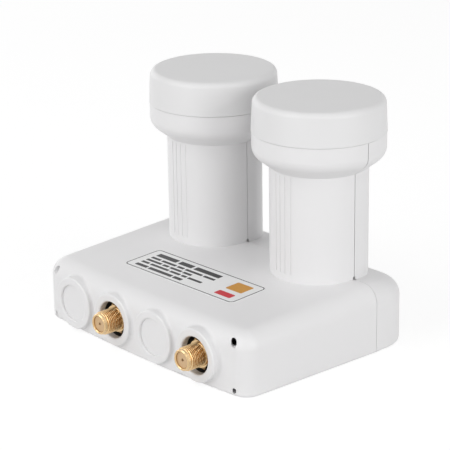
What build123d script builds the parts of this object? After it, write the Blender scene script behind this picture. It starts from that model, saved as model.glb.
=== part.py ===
"""Twin-feed satellite LNB: two feed horns on one white housing with two coaxial outlets.

Frame: millimetres, +Z up, the underside of the housing at z = 0. The two horn axes stand at
y = 0 on the seam plane of the housing, and the outlets face -Y.
"""
import os
from math import cos, radians, sin, tan

from build123d import *

# Housing
horn_spacing = 62.3
neck_d = 40.0
body_width = 127.4
body_height = 28.2
front_depth = 68.4
front_bow = 2.8
rear_depth = 23.1
front_side_draft = 1.95
front_roof_draft = 1.9
rear_side_draft = 1.6
rear_roof_draft = 7.0
front_corner_r = 7.6
rear_corner_r = 16.0
roof_edge_r = 7.2
floor_edge_r = 1.5
shell_wall = 2.0
seam_gap = 0.16
horn_seam_gap = 0.3

# Flare that carries the cap on each neck
flare_d = 53.9
flare_rim_z = 86.2
flare_rim_height = 5.9
flare_round_r = 5.7
flare_slope = 52.0

# Feed cap
cap_height = 14.0
cap_overhang = 0.2
cap_taper = 0.7
cap_edge_r = 2.6
cap_window = 1.8
cap_clearance = 0.25
cap_reveal = 0.2
cap_reveal_depth = 0.5

# Outlet bosses on the front face
boss_count = 4
boss_pitch = 25.15
boss_middle_x = -0.85
boss_foot_z = 1.55
boss_head_room = 4.75
boss_proud = 1.7
boss_edge_r = 0.7
boss_root_r = 1.2
outlet_hole_d = 15.2
outlet_hole_wall = 3.0
outlet_mouth_r = 0.7
blank_depth = 1.0

# Grooves, slots and notches of the front shell
groove_count = 4
groove_step = 8.0
groove_width = 0.9
groove_depth = 0.16
groove_foot = 2.5
groove_head = 3.2
slot_inset = 9.0
slot_bearing = 42.0
slot_depth = 6.0
upper_slot_drop = 6.4
upper_slot_length = 3.4
upper_slot_width = 2.2
lower_slot_z = 2.4
lower_slot_length = 2.3
lower_slot_width = 1.5
notch_width = 1.3
notch_height = 1.6
notch_reach = 1.0
notch_sink = 0.5

# Ribs, lip and catches inside the shells
rib_x = 22.5
rib_thickness = 2.0
rib_rear_end = 24.0
rib_foot_z = 8.0
rib_clearance = 0.2
lip_length = 2.5
lip_thickness = 1.2
lip_root = 4.0
lip_clearance = 0.2
lip_foot_z = 6.0
catch_length = 9.0
catch_height = 0.35
catch_width = 1.0
catch_y = 1.5

# Metal chassis
chassis_side_room = 6.7
chassis_front_room = 2.4
chassis_rear_room = 5.1
chassis_corner_r = 5.0
chassis_wall = 3.0
plate_thickness = 2.2
pillar_d = 7.6
pillar_inset = 3.0
lug_clearance = 0.42
outlet_lug_length = 6.0

# Feed horns of the chassis
guide_d = 17.5
guide_wall = 2.0
guide_mouth_rise = 3.3
guide_taper_length = 10.0
guide_lip = 0.15
horn_clearance = 0.2
horn_plate = 2.0
horn_head_room = 1.0
horn_rim_wall = 2.15
choke_ring_d = 35.0
choke_ring_wall = 1.5
choke_ring_rise = 7.3
seal_groove_rise = 5.9
seal_groove_height = 2.2
seal_groove_depth = 1.3
cap_seal_d = 1.5

# Cover below the chassis
cover_thickness = 2.0
gasket_thickness = 0.6
short_floor = 1.47
short_wall = 2.2

# Cover screws and board screws
cover_screw_d = 2.9
cover_screw_head_d = 5.6
cover_screw_length = 9.5
board_screw_d = 2.4
board_screw_head_d = 4.4
board_screw_head_height = 1.5
board_screw_length = 3.2
board_screw_y = -42.0
screw_clearance = 0.15
thread_clearance = 0.05

# Circuit board and what it carries
board_thickness = 1.0
board_clearance = 0.5
probe_length = 5.2
probe_width = 1.4
probe_thickness = 0.2
transistor_size = (2.1, 1.4, 1.0)
converter_size = (5.0, 5.0, 0.9)
switch_size = (8.6, 5.6, 1.5)
crystal_size = (5.0, 3.2, 1.1)
regulator_size = (6.5, 6.0, 1.7)
capacitor_size = (1.6, 0.8, 0.8)
choke_d = 3.2
choke_length = 5.0
converter_y = -32.0
crystal_x = 20.0
switch_y = -46.0
regulator_y = -47.0
regulator_x = 26.0
choke_y = -46.0
capacitor_pitch = 4.0
capacitor_rows = 3
capacitor_y = -20.0

# Coaxial outlets
outlet_thread_d = 9.525
outlet_reach = 6.6
outlet_lead_d = 8.5
outlet_lead_length = 1.4
outlet_tip_chamfer = 0.35
outlet_hex_af = 11.1
outlet_hex_turn = 53.0
outlet_hex_set_back = 2.5
outlet_hex_length = 4.5
outlet_collar_d = 11.0
outlet_seal_d = 18.6
outlet_seal_clearance = 0.15
insulator_d = 6.5
insulator_recess = 0.8
contact_d = 0.9
contact_recess = 3.0
contact_mouth_d = 1.2
contact_mouth_depth = 1.2
contact_tail = 6.0
slip_clearance = 0.05

# Rating label on the roof
label_length = 64.8
label_width = 20.2
label_thickness = 0.15
label_corner_r = 2.4
label_x = 0.75
label_y = -40.7
label_turn = 1.1

# Sizes that follow from the ones above
horn_xs = (-horn_spacing / 2, horn_spacing / 2)
neck_r = neck_d / 2
flare_r = flare_d / 2
flare_round_z = flare_rim_z - flare_rim_height
cap_foot_r = flare_r + cap_overhang
cap_head_r = cap_foot_r - cap_taper
cap_reveal_r = cap_foot_r - cap_reveal_depth
cap_top = flare_rim_z + cap_height
boss_d = body_height - boss_foot_z - boss_head_room
boss_z = boss_foot_z + boss_d / 2
boss_xs = [boss_middle_x + (index - (boss_count - 1) / 2) * boss_pitch for index in range(boss_count)]
blank_xs = boss_xs[0::2]
outlet_xs = boss_xs[1::2]
outlet_names = ("left", "right")
boss_face = front_depth + front_bow + boss_proud
seal_seat = boss_face - outlet_hole_wall
slot_x = body_width / 2 - slot_inset
upper_slot_z = body_height - upper_slot_drop
cover_z = shell_wall
gasket_z = cover_z + cover_thickness
rim_z = gasket_z + gasket_thickness
outlet_lug_d = 2 * (boss_z - rim_z - lug_clearance)
board_z = boss_z + contact_d / 2
short_depth = board_z - gasket_z - short_floor
plate_z = board_z + board_thickness
chassis_top = plate_z + plate_thickness
chassis_width = body_width - 2 * (shell_wall + chassis_side_room)
chassis_front = front_depth - shell_wall - chassis_front_room
chassis_rear = rear_depth - shell_wall - chassis_rear_room
chassis_depth = chassis_front + chassis_rear
chassis_y = (chassis_rear - chassis_front) / 2
guide_r = guide_d / 2
guide_outer_r = guide_r + guide_wall
guide_mouth_r = guide_outer_r - guide_lip
guide_mouth_z = flare_rim_z + guide_mouth_rise
guide_taper_z = guide_mouth_z - guide_taper_length
horn_r = flare_r - shell_wall - horn_clearance
horn_rim_z = cap_top - cap_window - horn_head_room
choke_ring_z = flare_rim_z + choke_ring_rise
seal_groove_z = flare_rim_z + seal_groove_rise
cap_bore_r = horn_r + cap_clearance
outlet_tip = boss_face + outlet_reach
insulator_face = outlet_tip - insulator_recess
outlet_hex_front = boss_face - outlet_hex_set_back
lug_end = chassis_front - outlet_lug_length
board_front = lug_end - board_clearance
tray_half_width = chassis_width / 2 - chassis_wall
tray_front = chassis_front - chassis_wall
tray_rear = chassis_rear - chassis_wall
pillar_x = tray_half_width - pillar_inset
pillar_front_y = -(tray_front - pillar_inset)
pillar_rear_y = tray_rear - pillar_inset
pillar_points = [
    (-pillar_x, pillar_front_y),
    (boss_xs[2], pillar_front_y),
    (pillar_x, pillar_front_y),
    (-pillar_x, converter_y),
    (pillar_x, converter_y),
    (-pillar_x, pillar_rear_y),
    (0, pillar_rear_y),
    (pillar_x, pillar_rear_y),
]
board_screw_x = pillar_x - pillar_d
board_screw_points = [
    (0, 0),
    (0, converter_y),
    (-board_screw_x, board_screw_y),
    (board_screw_x, board_screw_y),
]


def half_body(facing, width, depth, bow, floor_z, height, drafts, radii):
    """Half of the body block, from the seam plane to the end wall that faces -Y (-1) or +Y (1).

    depth, bow: from the seam to the end wall's corners, and how far the wall bows out past them.
    drafts: degrees by which the side walls and the roof close in towards the end wall.
    radii: of the upright corners, of the roof's edge and of the floor's edge (0 leaves it sharp).
    """
    side_draft, roof_draft = drafts
    corner_r, roof_r, floor_r = radii
    end_y = facing * depth
    end_x = width / 2 - depth * tan(radians(side_draft))
    reach_y = facing * (depth + bow)
    roof_z = floor_z + height
    reach_z = roof_z - (depth + bow) * tan(radians(roof_draft))
    with BuildPart() as half:
        with BuildSketch(Plane.XY.offset(floor_z)) as plan:
            with BuildLine():
                Polyline((-end_x, end_y), (-width / 2, 0), (width / 2, 0), (end_x, end_y))
                if bow > 0:
                    ThreePointArc((end_x, end_y), (0, end_y + facing * bow), (-end_x, end_y))
                else:
                    Line((end_x, end_y), (-end_x, end_y))
            make_face()
            corners = [corner for corner in plan.vertices() if abs(corner.Y) > depth / 2]
            fillet(corners, corner_r)
        extrude(amount=height)
        with BuildSketch(Plane.YZ):
            with BuildLine():
                Polyline((0, roof_z), (reach_y, reach_z), (reach_y, roof_z + height),
                         (0, roof_z + height), close=True)
            make_face()
        extrude(amount=width, both=True, mode=Mode.SUBTRACT)
        roof = half.faces().sort_by(Axis.Z)[-1]
        fillet([edge for edge in roof.edges() if abs(edge.center().Y) > seam_gap], roof_r)
        if floor_r > 0:
            floor = half.faces().sort_by(Axis.Z)[0]
            fillet([edge for edge in floor.edges() if abs(edge.center().Y) > seam_gap], floor_r)
    return half.part


def horn_solid(facing, inset, foot_z, head_z):
    """Both necks with their flares, drawn inset from the outside, on one side of the seam plane."""
    corner_r = flare_round_r - inset
    slope = radians(flare_slope)
    pivot_r = flare_r - flare_round_r
    tangent_r = pivot_r + corner_r * cos(slope)
    tangent_z = flare_round_z - corner_r * sin(slope)
    neck_head_z = tangent_z - (tangent_r - neck_r + inset) / tan(slope)
    middle = radians(flare_slope / 2)
    middle_r = pivot_r + corner_r * cos(middle)
    middle_z = flare_round_z - corner_r * sin(middle)
    with BuildPart() as horns:
        for horn_x in horn_xs:

            def at(radius, z):
                return (horn_x + facing * radius, z)

            with BuildSketch(Plane.XZ):
                with BuildLine():
                    Polyline(at(0, foot_z), at(neck_r - inset, foot_z), at(neck_r - inset, neck_head_z),
                             at(tangent_r, tangent_z))
                    ThreePointArc(at(tangent_r, tangent_z), at(middle_r, middle_z),
                                  at(flare_r - inset, flare_round_z))
                    Polyline(at(flare_r - inset, flare_round_z), at(flare_r - inset, head_z),
                             at(0, head_z), at(0, foot_z))
                make_face()
            revolve(axis=Axis((horn_x, 0, 0), (0, 0, 1)), revolution_arc=180)
    return horns.part


def outer_half(facing, depth, bow, drafts, corner_r):
    """Outside of the body block on one side of the seam."""
    radii = (corner_r, roof_edge_r, floor_edge_r)
    return half_body(facing, body_width, depth, bow, 0, body_height, drafts, radii)


def inner_half(facing, depth, bow, drafts, corner_r):
    """Room inside one housing half, one wall thickness in from the outside."""
    width = body_width - 2 * shell_wall
    height = body_height - 2 * shell_wall
    radii = (corner_r - shell_wall, roof_edge_r - shell_wall, 0)
    return half_body(facing, width, depth - shell_wall, bow, shell_wall, height, drafts, radii)


def seam_slab(facing):
    """Slab that takes half of the seam's gap off a housing half. The gap is wider along the horns."""
    with BuildPart() as slab:
        with BuildSketch(Plane.XZ):
            Rectangle(2 * body_width, 2 * body_height)
        extrude(amount=-facing * seam_gap / 2)
        with BuildSketch(Plane.XZ):
            with Locations((0, body_height)):
                Rectangle(2 * body_width, flare_rim_z, align=(Align.CENTER, Align.MIN))
        extrude(amount=-facing * horn_seam_gap / 2)
    return slab.part


def neck_notches():
    """Small notches through the foot of each neck, across the seam, that start in the roof."""
    notch_x = neck_r - shell_wall / 2
    notch_z = body_height - notch_sink + notch_height / 2
    with BuildPart() as notches:
        with Locations(*[(horn_x + side * notch_x, 0, notch_z) for horn_x in horn_xs for side in (-1, 1)]):
            Box(shell_wall + 2 * notch_reach, notch_width, notch_height)
    return notches.part


def is_boss_side(face):
    """Whether a round face is the side of an outlet boss."""
    return abs(face.radius - boss_d / 2) < slip_clearance


front_drafts = (front_side_draft, front_roof_draft)
rear_drafts = (rear_side_draft, rear_roof_draft)
collar_z = body_height - 2 * shell_wall
front_outer = outer_half(-1, front_depth, front_bow, front_drafts, front_corner_r)
rear_outer = outer_half(1, rear_depth, 0, rear_drafts, rear_corner_r)
front_horns = horn_solid(-1, 0, collar_z, flare_rim_z)
rear_horns = horn_solid(1, 0, collar_z, flare_rim_z)
front_bores = horn_solid(-1, shell_wall, chassis_top, flare_rim_z + shell_wall)
rear_bores = horn_solid(1, shell_wall, chassis_top, flare_rim_z + shell_wall)
notch_tool = neck_notches()

# Room in the front half, with two ribs left standing that hold the chassis down and back
with BuildPart() as front_room:
    add(inner_half(-1, front_depth, front_bow, front_drafts, front_corner_r))
    hold_down_z = chassis_top + rib_clearance
    for side in (-1, 1):
        with BuildSketch(Plane.YZ.offset(side * rib_x)):
            with BuildLine():
                Polyline((-boss_face, rib_foot_z), (-chassis_front - rib_clearance, rib_foot_z),
                         (-chassis_front - rib_clearance, hold_down_z), (-rib_rear_end, hold_down_z),
                         (-rib_rear_end, body_height), (-boss_face, body_height), close=True)
            make_face()
        extrude(amount=rib_thickness / 2, both=True, mode=Mode.SUBTRACT)

# Room in the rear half, with two ribs that stop the chassis at the back
with BuildPart() as rear_room:
    add(inner_half(1, rear_depth, 0, rear_drafts, rear_corner_r))
    for side in (-1, 1):
        with BuildSketch(Plane.YZ.offset(side * rib_x)):
            with BuildLine():
                Polyline((chassis_rear + rib_clearance, shell_wall), (rear_depth, shell_wall),
                         (rear_depth, chassis_top), (chassis_rear + rib_clearance, chassis_top),
                         close=True)
            make_face()
        extrude(amount=rib_thickness / 2, both=True, mode=Mode.SUBTRACT)

# Lip of the front shell: it enters the rear shell along the sides and the roof
lip_shift = lip_clearance + lip_length * tan(radians(max(rear_side_draft, rear_roof_draft)))
lip_half_width = body_width / 2 - shell_wall - lip_shift
lip_top = body_height - shell_wall - lip_shift
lip_r = roof_edge_r - shell_wall
with BuildPart() as lip:
    for start_y, end_y, grow in ((-lip_root, 0, lip_shift + shell_wall / 2), (0, lip_length, 0)):
        with BuildSketch(Plane.XZ.offset(-end_y)):
            with BuildLine():
                half_width = lip_half_width + grow
                Polyline((-half_width, lip_foot_z), (-half_width, lip_top + grow),
                         (half_width, lip_top + grow), (half_width, lip_foot_z), close=True)
            make_face()
            fillet(vertices().group_by(Axis.Y)[-1], lip_r)
            with BuildLine(mode=Mode.ADD):
                Polyline((-lip_half_width + lip_thickness, lip_foot_z),
                         (-lip_half_width + lip_thickness, lip_top - lip_thickness),
                         (lip_half_width - lip_thickness, lip_top - lip_thickness),
                         (lip_half_width - lip_thickness, lip_foot_z), close=True)
            make_face(mode=Mode.SUBTRACT)
        extrude(amount=end_y - start_y)
    for side in (-1, 1):
        with Locations((side * lip_half_width, catch_y, boss_z)):
            Box(2 * catch_height, catch_width, catch_length)
    add(front_bores, mode=Mode.SUBTRACT)
    add(rear_bores, mode=Mode.SUBTRACT)

# Front shell: half of the body, necks and flares, with the outlet bosses
with BuildPart() as front_shell:
    add(front_outer)
    add(front_horns)
    with BuildSketch(Plane.XZ.offset(front_depth - shell_wall)):
        with Locations(*[(boss_x, boss_z) for boss_x in boss_xs]):
            Circle(boss_d / 2)
    extrude(amount=boss_face - front_depth + shell_wall)
    fillet(edges().filter_by(GeomType.CIRCLE).group_by(Axis.Y)[0], boss_edge_r)
    boss_sides = faces().filter_by(GeomType.CYLINDER).filter_by(is_boss_side)
    fillet([edge for edge in boss_sides.edges() if edge.geom_type == GeomType.BSPLINE], boss_root_r)
    add(front_room.part, mode=Mode.SUBTRACT)
    add(front_bores, mode=Mode.SUBTRACT)
    with BuildSketch(Plane.XZ.offset(boss_face)):
        with Locations(*[(outlet_x, boss_z) for outlet_x in outlet_xs]):
            Circle(outlet_hole_d / 2)
    extrude(amount=front_depth - roof_edge_r - boss_face, mode=Mode.SUBTRACT)
    with BuildSketch(Plane.XZ.offset(seal_seat)):
        with Locations(*[(outlet_x, boss_z) for outlet_x in outlet_xs]):
            Circle(outlet_seal_d / 2 + outlet_seal_clearance)
    extrude(amount=chassis_front - seal_seat, mode=Mode.SUBTRACT)
    with BuildSketch(Plane.XZ.offset(boss_face)):
        with Locations(*[(blank_x, boss_z) for blank_x in blank_xs]):
            Circle(outlet_hole_d / 2)
    extrude(amount=-blank_depth, mode=Mode.SUBTRACT)
    face_circles = edges().filter_by(GeomType.CIRCLE).group_by(Axis.Y)[0]
    fillet(face_circles.sort_by(SortBy.RADIUS)[:boss_count], outlet_mouth_r)
    for side in (-1, 1):
        slot_plane = Plane(origin=(side * slot_x, -front_depth, 0),
                           x_dir=(cos(radians(slot_bearing)), side * sin(radians(slot_bearing)), 0),
                           z_dir=(side * sin(radians(slot_bearing)), -cos(radians(slot_bearing)), 0))
        with BuildSketch(slot_plane):
            with Locations((0, upper_slot_z)):
                SlotOverall(upper_slot_length, upper_slot_width, rotation=90)
            with Locations((0, lower_slot_z)):
                SlotOverall(lower_slot_length, lower_slot_width, rotation=90)
        extrude(amount=slot_depth, both=True, mode=Mode.SUBTRACT)
    groove_bottom = body_height + groove_foot
    groove_length = flare_round_z - flare_round_r - groove_head - groove_bottom
    for horn_x in horn_xs:
        for index in range(groove_count):
            bearing = -90 + (index - (groove_count - 1) / 2) * groove_step
            centre = (horn_x + neck_r * cos(radians(bearing)), neck_r * sin(radians(bearing)),
                      groove_bottom + groove_length / 2)
            with Locations(Location(centre, (0, 0, bearing))):
                Box(2 * groove_depth, groove_width, groove_length, mode=Mode.SUBTRACT)
    add(notch_tool, mode=Mode.SUBTRACT)
    add(seam_slab(-1), mode=Mode.SUBTRACT)
    add(lip.part)

# Rear shell: the other half, with pockets for the catches of the lip
with BuildPart() as rear_shell:
    add(rear_outer)
    add(rear_horns)
    add(rear_room.part, mode=Mode.SUBTRACT)
    add(rear_bores, mode=Mode.SUBTRACT)
    add(notch_tool, mode=Mode.SUBTRACT)
    add(seam_slab(1), mode=Mode.SUBTRACT)
    for side in (-1, 1):
        with Locations((side * lip_half_width, catch_y, boss_z)):
            Box(2 * (catch_height + lip_clearance), catch_width + 2 * lip_clearance,
                catch_length + 2 * lip_clearance, mode=Mode.SUBTRACT)

# Feed caps: thin windows that close the horns, standing on the flare rims
caps = []
for horn_x in horn_xs:
    with BuildPart() as cap:
        with BuildSketch(Plane.XZ):
            with BuildLine():
                Polyline((horn_x, cap_top - cap_window), (horn_x + cap_bore_r, cap_top - cap_window),
                         (horn_x + cap_bore_r, flare_rim_z), (horn_x + cap_reveal_r, flare_rim_z),
                         (horn_x + cap_reveal_r, flare_rim_z + cap_reveal),
                         (horn_x + cap_foot_r, flare_rim_z + cap_reveal),
                         (horn_x + cap_head_r, cap_top), (horn_x, cap_top), close=True)
            make_face()
            outer_corner = vertices().group_by(Axis.Y)[-1].sort_by(Axis.X)[-1]
            fillet(outer_corner, cap_edge_r)
        revolve(axis=Axis((horn_x, 0, 0), (0, 0, 1)))
    caps.append(cap.part)

# Cap seals: round rings in the grooves of the horn rims
seals = []
for horn_x in horn_xs:
    with BuildPart() as seal:
        with BuildSketch(Plane.XZ):
            seal_x = horn_x + horn_r - seal_groove_depth + cap_seal_d / 2 + slip_clearance
            with Locations((seal_x, seal_groove_z)):
                Circle(cap_seal_d / 2)
        revolve(axis=Axis((horn_x, 0, 0), (0, 0, 1)))
    seals.append(seal.part)

# Chassis: one casting of a tray, two round waveguides and their choke-ring horns
with BuildPart() as chassis:
    with BuildSketch(Plane.XY.offset(rim_z)):
        with Locations((0, chassis_y)):
            RectangleRounded(chassis_width, chassis_depth, chassis_corner_r)
    extrude(amount=chassis_top - rim_z)
    with BuildSketch(Plane.XY.offset(rim_z)):
        with Locations((0, chassis_y)):
            RectangleRounded(chassis_width - 2 * chassis_wall, chassis_depth - 2 * chassis_wall,
                             chassis_corner_r - chassis_wall)
    extrude(amount=plate_z - rim_z, mode=Mode.SUBTRACT)
    with BuildSketch(Plane.XY.offset(rim_z)):
        with Locations(*pillar_points):
            Circle(pillar_d / 2)
    extrude(amount=plate_z - rim_z)
    with BuildSketch(Plane.XZ.offset(chassis_front)):
        with Locations(*[(outlet_x, boss_z) for outlet_x in outlet_xs]):
            Circle(outlet_lug_d / 2)
    extrude(amount=-outlet_lug_length)
    choke_r = choke_ring_d / 2
    horn_floor_z = flare_round_z + horn_plate
    groove_half = seal_groove_height / 2
    for horn_x in horn_xs:
        outline = [
            (guide_r, plate_z), (guide_outer_r, plate_z), (guide_outer_r, flare_round_z),
            (horn_r, flare_round_z), (horn_r, seal_groove_z - groove_half),
            (horn_r - seal_groove_depth, seal_groove_z - groove_half),
            (horn_r - seal_groove_depth, seal_groove_z + groove_half),
            (horn_r, seal_groove_z + groove_half), (horn_r, horn_rim_z),
            (horn_r - horn_rim_wall, horn_rim_z), (horn_r - horn_rim_wall, horn_floor_z),
            (choke_r, horn_floor_z), (choke_r, choke_ring_z), (choke_r - choke_ring_wall, choke_ring_z),
            (choke_r - choke_ring_wall, horn_floor_z), (guide_outer_r, horn_floor_z),
            (guide_outer_r, guide_mouth_z), (guide_mouth_r, guide_mouth_z), (guide_r, guide_taper_z),
        ]
        with BuildSketch(Plane.XZ):
            with BuildLine():
                Polyline(*[(horn_x + radius, z) for radius, z in outline], close=True)
            make_face()
        revolve(axis=Axis((horn_x, 0, 0), (0, 0, 1)))
        with Locations((horn_x, 0, plate_z)):
            Cylinder(guide_r, plate_thickness, align=(Align.CENTER, Align.CENTER, Align.MIN),
                     mode=Mode.SUBTRACT)
    with BuildSketch(Plane.XZ.offset(chassis_front)):
        with Locations(*[(outlet_x, boss_z) for outlet_x in outlet_xs]):
            Circle(outlet_thread_d / 2 + thread_clearance)
    extrude(amount=-outlet_lug_length, mode=Mode.SUBTRACT)
    with BuildSketch(Plane.XY.offset(rim_z)):
        with Locations(*pillar_points):
            Circle(cover_screw_d / 2 + thread_clearance)
    extrude(amount=cover_screw_length - cover_thickness, mode=Mode.SUBTRACT)
    with BuildSketch(Plane.XY.offset(plate_z)):
        with Locations(*board_screw_points):
            Circle(board_screw_d / 2 + thread_clearance)
    extrude(amount=plate_thickness, mode=Mode.SUBTRACT)

# Cover with the cups that close the waveguides behind the probes
with BuildPart() as chassis_cover:
    with BuildSketch(Plane.XY.offset(cover_z)):
        with Locations((0, chassis_y)):
            RectangleRounded(chassis_width, chassis_depth, chassis_corner_r)
    extrude(amount=cover_thickness)
    with BuildSketch(Plane.XY.offset(gasket_z)):
        with Locations(*[(horn_x, 0) for horn_x in horn_xs]):
            Circle(guide_r + short_wall)
    extrude(amount=board_z - gasket_z)
    with BuildSketch(Plane.XY.offset(board_z)):
        with Locations(*[(horn_x, 0) for horn_x in horn_xs]):
            Circle(guide_r)
    extrude(amount=-short_depth, mode=Mode.SUBTRACT)
    with Locations(*[Location((x, y, cover_z), (180, 0, 0)) for x, y in pillar_points]):
        CounterSinkHole(cover_screw_d / 2 + screw_clearance, cover_screw_head_d / 2 + screw_clearance,
                        depth=cover_thickness)

# Gasket between the cover and the rim of the tray
with BuildPart() as cover_gasket:
    with BuildSketch(Plane.XY.offset(gasket_z)):
        with Locations((0, chassis_y)):
            RectangleRounded(chassis_width, chassis_depth, chassis_corner_r)
            RectangleRounded(chassis_width - 2 * chassis_wall, chassis_depth - 2 * chassis_wall,
                             chassis_corner_r - chassis_wall, mode=Mode.SUBTRACT)
        with Locations(*pillar_points):
            Circle(pillar_d / 2)
        with Locations(*pillar_points):
            Circle(cover_screw_d / 2 + screw_clearance, mode=Mode.SUBTRACT)
    extrude(amount=gasket_thickness)

# Countersunk screws of the cover
with BuildPart() as cover_screws:
    head_height = (cover_screw_head_d - cover_screw_d) / 2
    with BuildSketch(Plane.XY.offset(cover_z)):
        with Locations(*pillar_points):
            Circle(cover_screw_head_d / 2)
    extrude(amount=head_height, taper=45)
    with BuildSketch(Plane.XY.offset(cover_z + head_height / 2)):
        with Locations(*pillar_points):
            Circle(cover_screw_d / 2)
    extrude(amount=cover_screw_length - head_height / 2)

# Circuit board, ground side up against the plate of the chassis
with BuildPart() as circuit_board:
    board_rear = tray_rear - board_clearance
    with BuildSketch(Plane.XY.offset(board_z)):
        with Locations((0, (board_rear - board_front) / 2)):
            Rectangle(2 * (tray_half_width - board_clearance), board_rear + board_front)
        with Locations(*pillar_points):
            Circle(pillar_d / 2 + board_clearance, mode=Mode.SUBTRACT)
        with Locations(*board_screw_points):
            Circle(board_screw_d / 2 + screw_clearance, mode=Mode.SUBTRACT)
        fillet(vertices().group_by(Axis.Y)[-1], chassis_corner_r - chassis_wall)
    extrude(amount=board_thickness)

# Screws that hold the board, heads down
with BuildPart() as board_screws:
    with BuildSketch(Plane.XY.offset(board_z - board_screw_head_height)):
        with Locations(*board_screw_points):
            Circle(board_screw_head_d / 2)
    extrude(amount=board_screw_head_height)
    with BuildSketch(Plane.XY.offset(board_z - board_screw_head_height)):
        with Locations(*board_screw_points):
            Circle(board_screw_d / 2)
    extrude(amount=board_screw_head_height + board_screw_length - slip_clearance)

# Two probes across each waveguide, one for each polarisation
with BuildPart() as feed_probes:
    with BuildSketch(Plane.XY.offset(plate_z)):
        for horn_x in horn_xs:
            reach = guide_r - screw_clearance - probe_length / 2
            with Locations((horn_x - reach, 0)):
                Rectangle(probe_length, probe_width)
            with Locations((horn_x, -reach)):
                Rectangle(probe_width, probe_length)
    extrude(amount=probe_thickness)


def chips(size, points):
    """Flat packages of one size, hanging from the underside of the board at the given points."""
    length, width, height = size
    with BuildPart() as packages:
        with BuildSketch(Plane.XY.offset(board_z)):
            with Locations(*points):
                Rectangle(length, width)
        extrude(amount=-height)
    return packages.part


amplifier_y = guide_r + short_wall + 2 * transistor_size[1]
transistor_points = [(horn_x + shift, -amplifier_y) for horn_x in horn_xs
                     for shift in (-2 * transistor_size[0], 0, 2 * transistor_size[0])]
capacitor_points = [(horn_x + column * capacitor_pitch, capacitor_y - row * capacitor_pitch / 2)
                    for horn_x in horn_xs for column in (-2, -1, 1, 2) for row in range(capacitor_rows)]
transistors = chips(transistor_size, transistor_points)
converter_chips = chips(converter_size, [(horn_x, converter_y) for horn_x in horn_xs])
crystals = chips(crystal_size, [(side * crystal_x, converter_y) for side in (-1, 1)])
switch_chip = chips(switch_size, [(boss_xs[2], switch_y)])
regulators = chips(regulator_size, [(side * regulator_x, regulator_y) for side in (-1, 1)])
capacitors = chips(capacitor_size, capacitor_points)

# Choke coils behind the outlets
with BuildPart() as choke_coils:
    for outlet_x in outlet_xs:
        with BuildSketch(Plane.YZ.offset(outlet_x - choke_length / 2)):
            with Locations((choke_y, board_z - choke_d / 2)):
                Circle(choke_d / 2)
        extrude(amount=choke_length)

# Coaxial outlets: threaded bodies with a hexagon, their seals, insulators and centre contacts
outlets = {}
hex_rear = outlet_hex_front - outlet_hex_length
seal_front = seal_seat - outlet_seal_clearance
for name, outlet_x in zip(outlet_names, outlet_xs):
    with BuildPart() as outlet_body:
        with BuildSketch(Plane.XZ.offset(lug_end)):
            with Locations((outlet_x, boss_z)):
                Circle(outlet_thread_d / 2)
        extrude(amount=outlet_tip - outlet_lead_length - lug_end)
        with BuildSketch(Plane.XZ.offset(lug_end)):
            with Locations((outlet_x, boss_z)):
                Circle(outlet_lead_d / 2)
        extrude(amount=outlet_tip - lug_end)
        tip = outlet_body.faces().sort_by(Axis.Y)[0]
        chamfer(tip.edges(), outlet_tip_chamfer)
        with BuildSketch(Plane.XZ.offset(hex_rear)):
            with Locations((outlet_x, boss_z)):
                RegularPolygon(outlet_hex_af / 2, 6, major_radius=False, rotation=outlet_hex_turn)
        extrude(amount=outlet_hex_length)
        with BuildSketch(Plane.XZ.offset(chassis_front)):
            with Locations((outlet_x, boss_z)):
                Circle(outlet_collar_d / 2)
        extrude(amount=hex_rear - chassis_front)
        with BuildSketch(Plane.XZ.offset(lug_end)):
            with Locations((outlet_x, boss_z)):
                Circle(insulator_d / 2 + slip_clearance)
        extrude(amount=outlet_tip - lug_end, mode=Mode.SUBTRACT)
    with BuildPart() as outlet_seal:
        with BuildSketch(Plane.XZ.offset(chassis_front)):
            with Locations((outlet_x, boss_z)):
                Circle(outlet_seal_d / 2)
                Circle(outlet_collar_d / 2 + slip_clearance, mode=Mode.SUBTRACT)
        extrude(amount=seal_front - chassis_front)
        with BuildSketch(Plane.XZ.offset(hex_rear)):
            with Locations((outlet_x, boss_z)):
                Circle(outlet_hole_d / 2)
        extrude(amount=seal_front - hex_rear, mode=Mode.SUBTRACT)
    with BuildPart() as insulator:
        with BuildSketch(Plane.XZ.offset(lug_end)):
            with Locations((outlet_x, boss_z)):
                Circle(insulator_d / 2)
                Circle(contact_d / 2 + slip_clearance, mode=Mode.SUBTRACT)
        extrude(amount=insulator_face - lug_end)
        with BuildSketch(Plane.XZ.offset(insulator_face)):
            with Locations((outlet_x, boss_z)):
                Circle(contact_mouth_d / 2)
        extrude(amount=-contact_mouth_depth, mode=Mode.SUBTRACT)
    with BuildPart() as contact:
        contact_end = lug_end - contact_tail
        with BuildSketch(Plane.XZ.offset(contact_end)):
            with Locations((outlet_x, boss_z)):
                Circle(contact_d / 2)
        extrude(amount=outlet_tip - contact_recess - contact_end)
    outlets["outlet_body_" + name] = outlet_body.part
    outlets["outlet_seal_" + name] = outlet_seal.part
    outlets["outlet_insulator_" + name] = insulator.part
    outlets["outlet_contact_" + name] = contact.part

# Label on the sloping roof of the front shell
roof_plane = Plane(origin=(0, 0, body_height), x_dir=(1, 0, 0),
                   z_dir=(0, -sin(radians(front_roof_draft)), cos(radians(front_roof_draft))))
with BuildPart() as label:
    with BuildSketch(roof_plane):
        with Locations((label_x, label_y / cos(radians(front_roof_draft)))):
            RectangleRounded(label_length, label_width, label_corner_r, rotation=label_turn)
    extrude(amount=label_thickness)

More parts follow.
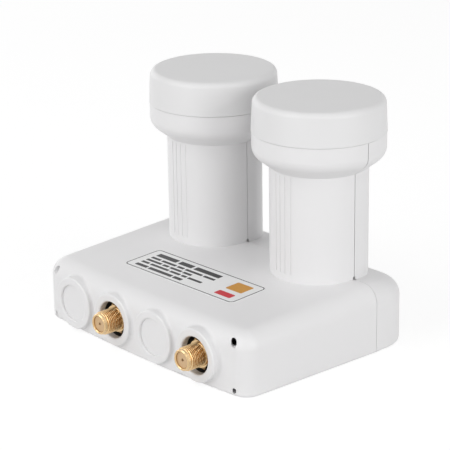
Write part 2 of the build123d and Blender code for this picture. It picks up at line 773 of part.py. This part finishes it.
pieces = {
    "front_shell": front_shell.part,
    "rear_shell": rear_shell.part,
    "feed_cap_left": caps[0],
    "feed_cap_right": caps[1],
    "cap_seal_left": seals[0],
    "cap_seal_right": seals[1],
    "chassis": chassis.part,
    "chassis_cover": chassis_cover.part,
    "cover_gasket": cover_gasket.part,
    "cover_screws": cover_screws.part,
    "circuit_board": circuit_board.part,
    "board_screws": board_screws.part,
    "feed_probes": feed_probes.part,
    "amplifier_transistors": transistors,
    "converter_chips": converter_chips,
    "oscillator_crystals": crystals,
    "switch_chip": switch_chip,
    "voltage_regulators": regulators,
    "capacitors": capacitors,
    "choke_coils": choke_coils.part,
    **outlets,
    "label": label.part,
}

os.makedirs("parts", exist_ok=True)
for piece_name, piece in pieces.items():
    piece.label = piece_name
    export_step(piece, f"parts/{piece_name}.step")
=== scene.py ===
"""Studio picture of a twin-feed satellite LNB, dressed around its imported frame.

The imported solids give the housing, the horns and everything inside. This script finishes their
surfaces, cuts the outlets' threads, prints the label and sets up the floor, the light and the camera.
Lengths in the classes below are millimetres and meshes are metres, in the frame's own axes.
"""
import logging
from dataclasses import dataclass
from enum import Enum
from math import cos, pi, radians, sin

import bpy
import numpy as np
from mathutils import Matrix, Vector


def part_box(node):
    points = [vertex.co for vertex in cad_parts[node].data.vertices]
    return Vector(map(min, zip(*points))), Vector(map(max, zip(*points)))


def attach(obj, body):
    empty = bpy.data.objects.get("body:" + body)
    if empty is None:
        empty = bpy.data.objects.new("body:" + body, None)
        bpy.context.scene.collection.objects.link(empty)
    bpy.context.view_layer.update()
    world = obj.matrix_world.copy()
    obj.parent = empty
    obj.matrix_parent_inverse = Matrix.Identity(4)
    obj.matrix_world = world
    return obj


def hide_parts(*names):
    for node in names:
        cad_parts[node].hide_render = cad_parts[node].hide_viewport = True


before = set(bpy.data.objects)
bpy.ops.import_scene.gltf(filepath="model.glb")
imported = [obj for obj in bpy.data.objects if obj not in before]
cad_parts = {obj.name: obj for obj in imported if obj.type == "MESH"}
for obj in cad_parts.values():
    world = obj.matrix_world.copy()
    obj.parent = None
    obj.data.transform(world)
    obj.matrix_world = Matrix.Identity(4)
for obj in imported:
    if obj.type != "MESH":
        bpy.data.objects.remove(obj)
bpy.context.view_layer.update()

MM = 0.001
BODY = "root"
# Radians that the wave pattern runs through in one unit of its scaled coordinate.
WAVE_BANDS = 20.0
# Finer layers of the cloudy pattern: for colour, and for gloss and grain.
CLOUD_DETAIL = 3.0
FINE_DETAIL = 2.0
# Sockets of the mix node that carry colours; others have the same names.
MIX_FIRST, MIX_SECOND, MIX_RESULT = 6, 7, 2
Colour = tuple[float, float, float]
Point = tuple[float, float, float]
log = logging.getLogger("lnb")


class Side(Enum):
    """Which of the two horns or outlets a piece belongs to."""

    LEFT = "left"
    RIGHT = "right"


class Slot(Enum):
    """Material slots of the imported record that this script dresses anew."""

    OUTLET = "outlet"
    LABEL = "label"


class Graph:
    """Node tree of one material or world, with short calls to add and join nodes."""

    def __init__(self, tree: bpy.types.NodeTree) -> None:
        """Starts from an empty tree.

        Args:
            tree: the node tree to fill; what it held is removed.
        """
        self.tree = tree
        self.tree.nodes.clear()

    def add(self, kind: str, **sockets: object) -> bpy.types.Node:
        """Adds one node.

        Args:
            kind: the node's type without its ShaderNode prefix.
            sockets: attributes of the node, or default values of its inputs, by lower-case name.

        Returns:
            The new node.
        """
        node = self.tree.nodes.new("ShaderNode" + kind)
        inputs = {socket.name.lower().replace(" ", "_"): socket for socket in reversed(node.inputs)}
        for name, value in sockets.items():
            if name in inputs:
                inputs[name].default_value = value
            else:
                setattr(node, name, value)
        return node

    def join(self, source: bpy.types.NodeSocket, sink: bpy.types.NodeSocket) -> None:
        """Links an output socket to an input socket."""
        self.tree.links.new(source, sink)


@dataclass(frozen=True)
class Finish:
    """A surface with a faintly mottled colour, an uneven gloss and a fine grain.

    Attributes:
        name: name of the material.
        colour: linear colour of the surface.
        shade: share of the colour that the darker patches lose.
        patch: size of those patches.
        roughness: middle roughness.
        unevenness: how far the roughness strays from it.
        grain: size of the grain.
        grain_depth: height of the grain.
        metallic: 1 for bare metal.
    """

    name: str
    colour: Colour
    shade: float = 0.03
    patch: float = 14.0
    roughness: float = 0.5
    unevenness: float = 0.05
    grain: float = 0.5
    grain_depth: float = 0.004
    metallic: float = 0.0

    def material(self) -> bpy.types.Material:
        """Builds the finish as a material.

        Returns:
            The new material, on Object coordinates.
        """
        material = bpy.data.materials.new(self.name)
        material.use_nodes = True
        graph = Graph(material.node_tree)
        place = graph.add("TexCoord").outputs["Object"]
        surface = graph.add("BsdfPrincipled", metallic=self.metallic)
        graph.join(self.tint(graph, place), surface.inputs["Base Color"])
        graph.join(self.gloss(graph, place), surface.inputs["Roughness"])
        bump = graph.add("Bump", strength=1.0, distance=self.grain_depth * MM)
        graph.join(self.relief(graph, place), bump.inputs["Height"])
        graph.join(bump.outputs["Normal"], surface.inputs["Normal"])
        output = graph.add("OutputMaterial")
        graph.join(surface.outputs["BSDF"], output.inputs["Surface"])
        return material

    def noise(self, graph: Graph, place: bpy.types.NodeSocket, size: float,
              detail: float) -> bpy.types.NodeSocket:
        """Adds a cloudy pattern.

        Args:
            graph: the material's tree.
            place: coordinates that the pattern reads.
            size: size of its features.
            detail: how many finer layers it has.

        Returns:
            The pattern's value, about 0 to 1.
        """
        pattern = graph.add("TexNoise", scale=1 / (size * MM), detail=detail)
        graph.join(place, pattern.inputs["Vector"])
        return pattern.outputs["Fac"]

    def wave(self, graph: Graph, place: bpy.types.NodeSocket, direction: str, spacing: float,
             distortion: float, detail: float) -> bpy.types.NodeSocket:
        """Adds a pattern of parallel bands.

        Args:
            graph: the material's tree.
            place: coordinates that the pattern reads.
            direction: the axis that the bands follow one another along.
            spacing: from one band to the next.
            distortion: how far the bands bend.
            detail: how many finer layers the bends have.

        Returns:
            The pattern's value, 0 to 1.
        """
        bands = graph.add("TexWave", bands_direction=direction, scale=2 * pi / (WAVE_BANDS * spacing * MM),
                          distortion=distortion, detail=detail)
        graph.join(place, bands.inputs["Vector"])
        return bands.outputs["Fac"]

    def tint(self, graph: Graph, place: bpy.types.NodeSocket) -> bpy.types.NodeSocket:
        """Mixes the colour with a darker one in soft patches; returns the colour."""
        dark = tuple(channel * (1 - self.shade) for channel in self.colour)
        mix = graph.add("Mix", data_type="RGBA")
        mix.inputs[MIX_FIRST].default_value = (*self.colour, 1)
        mix.inputs[MIX_SECOND].default_value = (*dark, 1)
        graph.join(self.noise(graph, place, self.patch, CLOUD_DETAIL), mix.inputs["Factor"])
        return mix.outputs[MIX_RESULT]

    def gloss(self, graph: Graph, place: bpy.types.NodeSocket) -> bpy.types.NodeSocket:
        """Lets the roughness stray in soft patches; returns it."""
        span = graph.add("MapRange", to_min=self.roughness - self.unevenness,
                         to_max=self.roughness + self.unevenness)
        graph.join(self.noise(graph, place, self.patch / 4, FINE_DETAIL), span.inputs["Value"])
        return span.outputs["Result"]

    def relief(self, graph: Graph, place: bpy.types.NodeSocket) -> bpy.types.NodeSocket:
        """Gives the height of the grain."""
        return self.noise(graph, place, self.grain, FINE_DETAIL)


@dataclass(frozen=True)
class TurnedFinish(Finish):
    """Turned metal: fine rings left by the tool, square to the axis along Y.

    Attributes:
        ring: spacing of the rings.
        ring_bend: how far they stray.
    """

    ring: float = 0.12
    ring_bend: float = 1.5

    def relief(self, graph: Graph, place: bpy.types.NodeSocket) -> bpy.types.NodeSocket:
        """Gives the height of the tool's rings, a wave along the axis."""
        return self.wave(graph, place, "Y", self.ring, self.ring_bend, detail=1.0)


@dataclass(frozen=True)
class BoardFinish(Finish):
    """Solder mask over copper: straight tracks show through it as paler lines.

    Attributes:
        track_colour: colour of the mask over copper.
        track: spacing of the tracks.
        track_bend: how far they stray.
        track_edge: values of the bands between which a track's edge fades in.
    """

    track_colour: Colour = (0.03, 0.22, 0.08)
    track: float = 3.0
    track_bend: float = 6.0
    track_edge: tuple[float, float] = (0.72, 0.78)

    def tint(self, graph: Graph, place: bpy.types.NodeSocket) -> bpy.types.NodeSocket:
        """Lays the tracks' colour over the mottled mask; returns the colour."""
        tracks = self.wave(graph, place, "X", self.track, self.track_bend, detail=0.0)
        low, high = self.track_edge
        edge = graph.add("MapRange", from_min=low, from_max=high)
        graph.join(tracks, edge.inputs["Value"])
        mix = graph.add("Mix", data_type="RGBA")
        graph.join(super().tint(graph, place), mix.inputs[MIX_FIRST])
        mix.inputs[MIX_SECOND].default_value = (*self.track_colour, 1)
        graph.join(edge.outputs["Result"], mix.inputs["Factor"])
        return mix.outputs[MIX_RESULT]


WHITE_MOULDING = Finish("white_moulding", (0.80, 0.795, 0.80), shade=0.02, patch=22.0, roughness=0.42,
                        unevenness=0.04, grain=0.35, grain_depth=0.003)
CAP_MOULDING = Finish("cap_moulding", (0.765, 0.762, 0.765), shade=0.015, patch=26.0, roughness=0.46,
                      unevenness=0.04, grain=0.3, grain_depth=0.003)
BLACK_RUBBER = Finish("black_rubber", (0.02, 0.02, 0.02), shade=0.3, roughness=0.75, grain=0.2)
DIE_CASTING = Finish("die_casting", (0.56, 0.57, 0.58), shade=0.12, patch=6.0, roughness=0.48,
                     unevenness=0.1, grain=0.6, grain_depth=0.02, metallic=1.0)
ZINC_PLATE = Finish("zinc_plate", (0.55, 0.55, 0.56), shade=0.1, patch=2.0, roughness=0.35, grain=0.2,
                    metallic=1.0)
SOLDER_MASK = BoardFinish("solder_mask", (0.02, 0.13, 0.05), shade=0.2, roughness=0.4, grain=0.3)
CHIP_MOULDING = Finish("chip_moulding", (0.015, 0.015, 0.017), shade=0.3, patch=1.0, roughness=0.6,
                       grain=0.1)
CRYSTAL_CAN = Finish("crystal_can", (0.60, 0.60, 0.61), shade=0.1, patch=1.5, roughness=0.3, metallic=1.0)
FIRED_CERAMIC = Finish("fired_ceramic", (0.30, 0.18, 0.09), shade=0.2, patch=0.8, roughness=0.55,
                       grain=0.1)
COIL_WIRE = Finish("coil_wire", (0.55, 0.24, 0.10), shade=0.2, patch=0.6, roughness=0.35, metallic=1.0)
CONTACT_PLATE = Finish("contact_plate", (0.60, 0.42, 0.20), shade=0.15, patch=0.8, roughness=0.35,
                       metallic=1.0)
OUTLET_PLATE = TurnedFinish("outlet_plate", (0.74, 0.53, 0.29), shade=0.12, patch=2.5, roughness=0.24,
                            unevenness=0.06, grain_depth=0.004, metallic=1.0)
TAN_MOULDING = Finish("tan_moulding", (0.66, 0.45, 0.25), shade=0.12, patch=1.6, roughness=0.5, grain=0.15)
WHITE_FILM = Finish("white_film", (0.82, 0.82, 0.82), shade=0.015, patch=9.0, roughness=0.36,
                    unevenness=0.03, grain=0.25, grain_depth=0.001)
DARK_INK = Finish("dark_ink", (0.012, 0.012, 0.013), shade=0.2, patch=1.2, roughness=0.45, grain=0.2)
WARM_INK = Finish("warm_ink", (0.60, 0.28, 0.03), shade=0.1, patch=1.2, roughness=0.45, grain=0.2)
RED_INK = Finish("red_ink", (0.58, 0.01, 0.02), shade=0.1, patch=1.2, roughness=0.45, grain=0.2)


def wrapped_quads(rows: int, columns: int, ring_rows: bool) -> np.ndarray:
    """Corner numbers of the quads of a grid that closes around its columns.

    Quad (i, j) joins point j of row i to point j + 1, then to the same two points of row i + 1, and
    column numbers wrap round. With ring_rows the last row is joined to the first as well.

    Args:
        rows: rows of the grid.
        columns: points in a row.
        ring_rows: whether the rows close into a ring too.

    Returns:
        An array of quads by four corner numbers.
    """
    count = rows if ring_rows else rows - 1
    i, j = np.meshgrid(np.arange(count), np.arange(columns), indexing="ij")
    below, right = (i + 1) % rows, (j + 1) % columns
    corners = (i * columns + j, i * columns + right, below * columns + right, below * columns + j)
    return np.stack([corner.ravel() for corner in corners], axis=1)


def new_piece(name: str, points: np.ndarray, faces: np.ndarray, finish: Finish,
              crease: float) -> bpy.types.Object:
    """Makes a mesh object at the origin from points and faces, and lets it ride on the body.

    Args:
        name: name of the piece.
        points: places of its corners in millimetres.
        faces: corner numbers of its faces, all with as many corners.
        finish: its surface.
        crease: angle in degrees past which an edge stays sharp.

    Returns:
        The new object.
    """
    mesh = bpy.data.meshes.new(name)
    mesh.from_pydata((points * MM).tolist(), [], faces.tolist())
    mesh.shade_smooth()
    mesh.set_sharp_from_angle(angle=radians(crease))
    mesh.materials.append(finish.material())
    piece = bpy.data.objects.new(name, mesh)
    bpy.context.scene.collection.objects.link(piece)
    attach(piece, BODY)
    log.info("%s: %d faces", name, len(mesh.polygons))
    return piece


def dress(finish: Finish, *nodes: str) -> None:
    """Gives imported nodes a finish.

    Args:
        finish: the surface that they share.
        nodes: their names.
    """
    material = finish.material()
    for node in nodes:
        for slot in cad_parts[node].material_slots:
            slot.material = material
        log.info("%s: %s", node, finish.name)


@dataclass
class Housing:
    """The two moulded shells with their necks and flares."""

    shells: tuple[str, ...] = ("front_shell", "rear_shell")

    def build(self) -> None:
        """Finishes both shells as one white moulding."""
        dress(WHITE_MOULDING, *self.shells)


@dataclass
class FeedHorn:
    """The cap and the seal at the head of one horn."""

    side: Side

    def build(self) -> None:
        """Finishes the cap and the seal."""
        dress(CAP_MOULDING, f"feed_cap_{self.side.value}")
        dress(BLACK_RUBBER, f"cap_seal_{self.side.value}")


@dataclass
class Receiver:
    """The casting, the board and all that is sealed inside the shells."""

    def build(self) -> None:
        """Finishes every inner piece."""
        dress(DIE_CASTING, "chassis", "chassis_cover")
        dress(BLACK_RUBBER, "cover_gasket")
        dress(ZINC_PLATE, "cover_screws", "board_screws")
        dress(SOLDER_MASK, "circuit_board")
        dress(CONTACT_PLATE, "feed_probes")
        dress(CHIP_MOULDING, "amplifier_transistors", "converter_chips", "switch_chip", "voltage_regulators")
        dress(CRYSTAL_CAN, "oscillator_crystals")
        dress(FIRED_CERAMIC, "capacitors")
        dress(COIL_WIRE, "choke_coils")


@dataclass
class Outlet:
    """One coaxial outlet: a turned body with a smooth lead-in, a screw thread and a hexagon.

    Depths are counted back from the tip, along the axis. hex_turn is the angle of a corner, from +X.
    crest_flat and root_flat are shares of half a pitch.
    """

    side: Side
    thread_d: float = 9.525
    thread_pitch: float = 25.4 / 32
    thread_depth: float = 0.66
    crest_flat: float = 0.34
    root_flat: float = 0.1
    lead_d: float = 8.5
    lead_length: float = 1.4
    tip_chamfer: float = 0.35
    bore_d: float = 6.6
    bore_chamfer: float = 0.3
    hex_width: float = 11.1
    hex_turn: float = 53.0
    hex_front: float = 9.1
    hex_back: float = 13.6
    hex_chamfer: float = 0.4
    collar_d: float = 11.0
    collar_back: float = 15.5
    columns: int = 96
    rows_per_turn: int = 16
    crease: float = 32.0

    def build(self) -> None:
        """Cuts the threaded body in place of the plain one, and finishes what is in it."""
        side = self.side.value
        points = self.surface(*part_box(f"outlet_body_{side}"))
        faces = wrapped_quads(points.shape[0], points.shape[1], ring_rows=True)[:, ::-1]
        body = new_piece(f"threaded_outlet_{side}", points.reshape(-1, 3), faces, OUTLET_PLATE, self.crease)
        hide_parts(f"outlet_body_{side}")
        dress(TAN_MOULDING, f"outlet_insulator_{side}")
        dress(CONTACT_PLATE, f"outlet_contact_{side}")
        dress(BLACK_RUBBER, f"outlet_seal_{side}")

    def hexagon(self, angles: np.ndarray) -> np.ndarray:
        """Radius of the hexagon: half its width over the cosine of the angle from the nearest flat."""
        sector = pi / 3
        return self.hex_width / 2 / np.cos((angles - radians(self.hex_turn)) % sector - sector / 2)

    def thread(self, depths: np.ndarray, angles: np.ndarray) -> np.ndarray:
        """Radius of the screw thread.

        The turn count at a point is its depth over the pitch, less its angle as a share of a turn. A
        triangle wave of that count, stretched and clipped so that crests and roots are flat over their
        shares of half a pitch, runs from crest to root. It dies out over one pitch at the hexagon, and a
        cone that opens by as much as it goes back trims the first crest down to the lead-in. Pitch and
        outer diameter are the standard's; the grooves are deeper, so that they show from afar.

        Args:
            depths: depths of the rows.
            angles: angles of the columns.

        Returns:
            Radii, rows by columns.
        """
        turns = depths[:, None] / self.thread_pitch - angles[None, :] / (2 * pi)
        wave = 2 * np.abs(turns % 1 - 0.5)
        cut = np.clip((wave - self.crest_flat) / (1 - self.crest_flat - self.root_flat), 0, 1)
        fade = np.clip((self.hex_front - depths) / self.thread_pitch, 0, 1)[:, None]
        cone = (self.lead_d / 2 + depths - self.lead_length)[:, None]
        return np.minimum(self.thread_d / 2 - self.thread_depth * cut * fade, cone)

    def surface(self, low: Vector, high: Vector) -> np.ndarray:
        """Places the whole outer and inner wall of the body as one closed grid.

        The rows run from the back end of the bore forward to the tip, over it, back along the thread, the
        hexagon, the collar and the shank to the back end again, where the grid closes on itself.

        Args:
            low, high: corners of the plain body's box in the frame, in metres.

        Returns:
            Points in millimetres, rows by columns by three.
        """
        tip, back = low.y / MM, high.y / MM
        angles = radians(self.hex_turn) + np.linspace(0, 2 * pi, self.columns, endpoint=False)
        even = np.ones(self.columns)
        end = back - tip
        bore = self.bore_d / 2
        lead = self.lead_d / 2
        crest = self.thread_d / 2
        turns = (self.hex_front - self.lead_length) / self.thread_pitch
        depths = np.linspace(self.lead_length, self.hex_front, round(turns * self.rows_per_turn))
        flats = self.hexagon(angles)
        bevel = np.minimum(flats, self.hex_width / 2)
        blocks = [
            ([end, self.bore_chamfer, 0], np.outer([bore, bore, bore + self.bore_chamfer], even)),
            ([0, self.tip_chamfer], np.outer([lead - self.tip_chamfer, lead], even)),
            (depths, self.thread(depths, angles)),
            ([self.hex_front, self.hex_front + self.hex_chamfer], np.stack([bevel, flats])),
            ([self.hex_back - self.hex_chamfer, self.hex_back], np.stack([flats, bevel])),
            ([self.hex_back, self.collar_back], np.outer([self.collar_d / 2, self.collar_d / 2], even)),
            ([self.collar_back, end], np.outer([crest, crest], even)),
        ]
        row_depths = np.concatenate([np.asarray(block[0], float) for block in blocks])
        radii = np.concatenate([block[1] for block in blocks])
        x = (low.x + high.x) / 2 / MM + radii * np.cos(angles)
        y = np.broadcast_to(tip + row_depths[:, None], radii.shape)
        z = (low.z + high.z) / 2 / MM + radii * np.sin(angles)
        return np.stack([x, y, z], axis=2)


@dataclass(frozen=True)
class Bar:
    """One printed field on the label: a rectangle with rounded corners.

    Attributes:
        x, y: its middle, from the middle of the label.
        length, height: its size.
        corner: radius of its corners.
    """

    x: float
    y: float
    length: float
    height: float
    corner: float = 0.25


@dataclass(frozen=True)
class PrintLine:
    """A line of generic print: bars as long as words, one after another.

    Attributes:
        x, y: where its first bar starts, and its middle, from the middle of the label.
        height: height of its bars.
        words: lengths of its bars.
        gap: between two bars.
    """

    x: float
    y: float
    height: float
    words: tuple[float, ...]
    gap: float = 0.9

    def bars(self) -> list[Bar]:
        """Sets the bars in their places; returns them."""
        starts = self.x + np.cumsum((0.0, *self.words[:-1])) + self.gap * np.arange(len(self.words))
        return [Bar(start + word / 2, self.y, word, self.height) for start, word in zip(starts, self.words)]


@dataclass
class RatingLabel:
    """The film on the roof, with a thin frame and a generic print of bars and fields."""

    x: float = 0.75
    y: float = -40.7
    roof_z: float = 28.2
    roof_slope: float = 1.9
    turn: float = 1.1
    length: float = 64.8
    width: float = 20.2
    film: float = 0.15
    frame_inset: float = 0.4
    frame_line: float = 0.45
    frame_corner: float = 2.0
    ink: float = 0.02
    sink: float = 0.05
    outline_steps: int = 8
    crease: float = 30.0
    lines: tuple[PrintLine, ...] = (
        PrintLine(-28.0, 5.6, 2.8, (12.0, 8.0, 15.0), 1.4),
        PrintLine(-28.0, 2.0, 1.5, (5.5, 8.5, 4.0, 10.0, 6.5)),
        PrintLine(-28.0, -0.7, 1.5, (9.0, 3.5, 7.0, 5.0)),
        PrintLine(-28.0, -3.4, 1.5, (4.5, 11.0, 6.0, 3.0, 8.0)),
        PrintLine(-28.0, -6.6, 1.9, (7.0, 14.0, 5.0)),
    )
    warm_field: Bar = Bar(23.5, 3.0, 9.0, 7.4, 0.6)
    red_field: Bar = Bar(23.5, -5.2, 9.0, 3.6, 0.6)

    def build(self) -> None:
        """Finishes the film and prints on it."""
        dress(WHITE_FILM, "label")
        self.print_frame("label_frame")
        self.print_bars("label_lines", [bar for line in self.lines for bar in line.bars()], DARK_INK)
        self.print_bars("label_field_warm", [self.warm_field], WARM_INK)
        self.print_bars("label_field_red", [self.red_field], RED_INK)

    def outline(self, bar: Bar) -> np.ndarray:
        """Outline of a bar: four quarter circles, each moved out to its corner of the rectangle.

        Args:
            bar: the field to outline.

        Returns:
            Points by two, in the label's own plane, anticlockwise.
        """
        angles = (np.arange(4 * self.outline_steps) + 0.5) * (pi / 2 / self.outline_steps)
        reach_x = (bar.length / 2 - bar.corner) * np.sign(np.cos(angles))
        reach_y = (bar.height / 2 - bar.corner) * np.sign(np.sin(angles))
        return np.stack([bar.x + reach_x + bar.corner * np.cos(angles),
                         bar.y + reach_y + bar.corner * np.sin(angles)], axis=1)

    def on_roof(self, flat: np.ndarray, lift: np.ndarray) -> np.ndarray:
        """Turns points of the label's plane into the frame, lifted off the film's upper face.

        Args:
            flat: points by two in the label's plane.
            lift: height of each point over the film.

        Returns:
            Points by three in millimetres.
        """
        turn, slope = radians(self.turn), radians(self.roof_slope)
        along = flat[..., 0] * cos(turn) - flat[..., 1] * sin(turn) + self.x
        across = flat[..., 0] * sin(turn) + flat[..., 1] * cos(turn) + self.y / cos(slope)
        height = self.film + lift
        return np.stack([along, across * cos(slope) - height * sin(slope),
                         self.roof_z + across * sin(slope) + height * cos(slope)], axis=-1)

    def print_bars(self, name: str, bars: list[Bar], finish: Finish) -> None:
        """Prints filled fields as thin closed slabs of ink.

        Each bar has its outline twice, below and above. Its lower and upper faces are strips of quads that
        join the outline's far half, point by point, to its mirror image, and a ring joins both outlines.

        Args:
            name: name of the piece.
            bars: the fields.
            finish: the ink.
        """
        edges = np.stack([self.outline(bar) for bar in bars])
        columns = edges.shape[1]
        layers = [self.on_roof(edges, np.full(edges.shape[:2], lift)) for lift in (-self.sink, self.ink)]
        points = np.concatenate(layers, axis=1)
        k = np.arange(columns // 2 - 1)
        strip = np.stack([k, k + 1, columns - 2 - k, columns - 1 - k], axis=1)
        slab = np.concatenate([strip[:, ::-1], strip + columns, wrapped_quads(2, columns, ring_rows=False)])
        steps = 2 * columns * np.arange(len(bars))
        faces = (slab[None] + steps[:, None, None]).reshape(-1, 4)
        piece = new_piece(name, points.reshape(-1, 3), faces, finish, self.crease)

    def print_frame(self, name: str) -> None:
        """Prints the thin frame line as a closed ring of ink with a square section.

        Args:
            name: name of the piece.
        """
        length, width = self.length - 2 * self.frame_inset, self.width - 2 * self.frame_inset
        outer = Bar(0, 0, length, width, self.frame_corner)
        inner = Bar(0, 0, length - 2 * self.frame_line, width - 2 * self.frame_line,
                    self.frame_corner - self.frame_line)
        rows = np.stack([self.outline(bar) for bar in (outer, inner, inner, outer)])
        lifts = np.array([self.ink, self.ink, -self.sink, -self.sink])
        points = self.on_roof(rows, np.broadcast_to(lifts[:, None], rows.shape[:2]))
        faces = wrapped_quads(len(lifts), rows.shape[1], ring_rows=True)
        piece = new_piece(name, points.reshape(-1, 3), faces, DARK_INK, self.crease)


@dataclass(frozen=True)
class Softbox:
    """A square area lamp.

    Attributes:
        name: name of the lamp.
        place: where it stands.
        aim: the point that it faces.
        size: length of its side.
        power: in watts.
    """

    name: str
    place: Point
    aim: Point
    size: float
    power: float

    def build(self) -> None:
        """Hangs the lamp."""
        data = bpy.data.lights.new(self.name, "AREA")
        data.shape = "SQUARE"
        data.size = self.size * MM
        data.energy = self.power
        lamp = bpy.data.objects.new(self.name, data)
        lamp.location = Vector(self.place) * MM
        lamp.rotation_euler = (Vector(self.aim) - Vector(self.place)).to_track_quat("-Z", "Y").to_euler()
        bpy.context.scene.collection.objects.link(lamp)


@dataclass
class Studio:
    """White floor, soft light and the camera of the picture.

    Attributes:
        azimuth, elevation, roll: direction of the camera, in degrees.
        aim, distance: the point that it looks at and how far away it is.
        focal_pixels: focal length in pixels of a picture that is frame_pixels wide.
    """

    azimuth: float = 48.069
    elevation: float = 19.312
    roll: float = -0.859
    aim: Point = (-14.57, -9.75, 37.11)
    distance: float = 790.0
    focal_pixels: float = 1889.31
    frame_pixels: float = 450.0
    sensor: float = 36.0
    floor_reach: float = 3000.0
    floor_colour: float = 0.80
    floor_seen: float = 0.30
    floor_glow: float = 0.79
    sky: float = 0.3
    softboxes: tuple[Softbox, ...] = (
        Softbox("front_softbox", (-130, -1510, 360), (0, 0, 40), 1000, 9.0),
        Softbox("right_softbox", (1510, 130, 360), (0, 0, 40), 1000, 11.0),
        Softbox("left_softbox", (-1490, 260, 360), (0, 0, 40), 1000, 4.0),
        Softbox("high_front_softbox", (-550, -950, 1140), (0, 0, 40), 1000, 5.6),
        Softbox("high_right_softbox", (950, -550, 1140), (0, 0, 40), 1000, 2.7),
        Softbox("high_rear_softbox", (950, 550, 1300), (0, 0, 40), 1000, 1.5),
    )

    def build(self) -> None:
        """Sets up the floor, the world, the lamps and the camera."""
        self.lay_floor()
        self.light_world()
        for softbox in self.softboxes:
            softbox.build()
        self.place_camera()
        bpy.context.scene.view_settings.view_transform = "Standard"

    def seen_directly(self, graph: Graph) -> bpy.types.NodeSocket:
        """Tells rays that show a surface, straight or in a reflection, from rays that light one.

        Args:
            graph: the tree that asks.

        Returns:
            1 for camera, glossy and transmission rays, else 0.
        """
        path = graph.add("LightPath")
        first = graph.add("Math", operation="MAXIMUM")
        graph.join(path.outputs["Is Camera Ray"], first.inputs[0])
        graph.join(path.outputs["Is Glossy Ray"], first.inputs[1])
        second = graph.add("Math", operation="MAXIMUM")
        graph.join(first.outputs[0], second.inputs[0])
        graph.join(path.outputs["Is Transmission Ray"], second.inputs[1])
        return second.outputs[0]

    def lay_floor(self) -> None:
        """Lays a plain pale floor that shows white and keeps the shadow."""
        material = bpy.data.materials.new("studio_floor")
        material.use_nodes = True
        graph = Graph(material.node_tree)
        lit = graph.add("BsdfDiffuse", color=(self.floor_colour, self.floor_colour, self.floor_colour, 1))
        seen = graph.add("BsdfDiffuse", color=(self.floor_seen, self.floor_seen, self.floor_seen, 1))
        glow = graph.add("Emission", strength=self.floor_glow)
        shown = graph.add("AddShader")
        graph.join(seen.outputs[0], shown.inputs[0])
        graph.join(glow.outputs[0], shown.inputs[1])
        mix = graph.add("MixShader")
        graph.join(self.seen_directly(graph), mix.inputs[0])
        graph.join(lit.outputs[0], mix.inputs[1])
        graph.join(shown.outputs[0], mix.inputs[2])
        output = graph.add("OutputMaterial")
        graph.join(mix.outputs[0], output.inputs["Surface"])
        reach = self.floor_reach * MM
        mesh = bpy.data.meshes.new("studio_floor")
        corners = [(-reach, -reach, 0), (reach, -reach, 0), (reach, reach, 0), (-reach, reach, 0)]
        mesh.from_pydata(corners, [], [(0, 1, 2, 3)])
        mesh.materials.append(material)
        floor = bpy.data.objects.new("studio_floor", mesh)
        bpy.context.scene.collection.objects.link(floor)

    def light_world(self) -> None:
        """Fills the room with even light and shows it white."""
        world = bpy.data.worlds.new("studio_room")
        world.use_nodes = True
        graph = Graph(world.node_tree)
        lit = graph.add("Background", strength=self.sky)
        lit.inputs["Color"].default_value = (1, 1, 1, 1)
        shown = graph.add("Background", strength=1.0)
        shown.inputs["Color"].default_value = (1, 1, 1, 1)
        mix = graph.add("MixShader")
        graph.join(self.seen_directly(graph), mix.inputs[0])
        graph.join(lit.outputs[0], mix.inputs[1])
        graph.join(shown.outputs[0], mix.inputs[2])
        output = graph.add("OutputWorld")
        graph.join(mix.outputs[0], output.inputs["Surface"])
        bpy.context.scene.world = world

    def place_camera(self) -> None:
        """Points the camera along its azimuth and elevation, then rolls it."""
        azimuth, elevation, roll = radians(self.azimuth), radians(self.elevation), radians(self.roll)
        level = Vector((cos(azimuth), sin(azimuth), 0))
        ahead = Vector((-sin(azimuth) * cos(elevation), cos(azimuth) * cos(elevation), -sin(elevation)))
        upright = level.cross(ahead)
        right = level * cos(roll) + upright * sin(roll)
        above = upright * cos(roll) - level * sin(roll)
        data = bpy.data.cameras.new("photo_camera")
        data.sensor_width = self.sensor
        data.lens = self.focal_pixels / self.frame_pixels * self.sensor
        camera = bpy.data.objects.new("photo_camera", data)
        turned = Matrix((right, above, -ahead)).transposed().to_4x4()
        place = (Vector(self.aim) - ahead * self.distance) * MM
        camera.matrix_world = Matrix.Translation(place) @ turned
        bpy.context.scene.collection.objects.link(camera)
        bpy.context.scene.camera = camera


def main() -> None:
    """Builds the part and the studio in order."""
    logging.basicConfig(level=logging.INFO, format="%(message)s")
    Housing().build()
    for side in Side:
        FeedHorn(side).build()
        Outlet(side).build()
    Receiver().build()
    RatingLabel().build()
    Studio().build()


if __name__ == "__main__":
    main()
